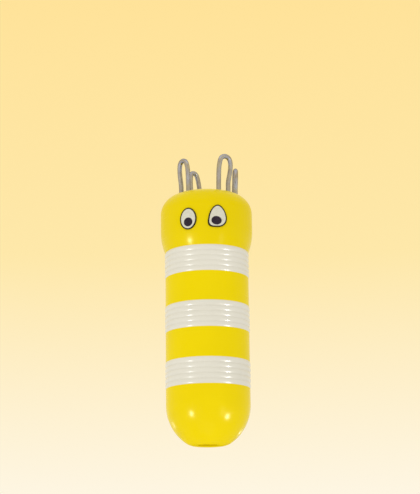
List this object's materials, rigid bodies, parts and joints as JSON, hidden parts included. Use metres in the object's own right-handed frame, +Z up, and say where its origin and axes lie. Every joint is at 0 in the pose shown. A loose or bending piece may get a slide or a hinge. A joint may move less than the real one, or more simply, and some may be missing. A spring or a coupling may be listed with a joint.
{
  "type": "knitting spool",
  "caption": "Hand-held knitting spool for making i-cord: ribbed plastic body with a through bore, flared head with a face, and bent wire hooks round the mouth.",
  "frame": {"origin": "centre of the cord outlet in the flat foot, on the spool's axis, where it stands on a table", "axes": "+Z up the spool's axis from the foot to the hooks; the face looks along -Y; +X is to the right of someone who faces it"},
  "size_m": [0.03, 0.0303, 0.0939],
  "materials": {
    "yellow_shell": "glossy moulded plastic, opaque yellow",
    "white_band": "glossy moulded plastic, creamy white, with round grip ribs",
    "tube": "smooth moulded plastic, creamy white",
    "steel_wire": "drawn steel wire, dull",
    "eye_dark": "glossy black",
    "eye_white": "glossy off-white"
  },
  "bodies": {
    "root": {"cord_tube": "tube", "tail_cap": "yellow_shell", "white_band_lower": "white_band", "yellow_ring_lower": "yellow_shell", "white_band_middle": "white_band", "yellow_ring_upper": "yellow_shell", "white_band_upper": "white_band", "head_shell": "yellow_shell", "hook_front_left": "steel_wire", "hook_front_right": "steel_wire", "hook_back_right": "steel_wire", "hook_back_left": "steel_wire", "left_eye_rim": "eye_dark", "left_eye_white": "eye_white", "left_eye_pupil": "eye_dark", "right_eye_rim": "eye_dark", "right_eye_white": "eye_white", "right_eye_pupil": "eye_dark"}
  },
  "joints": []
}
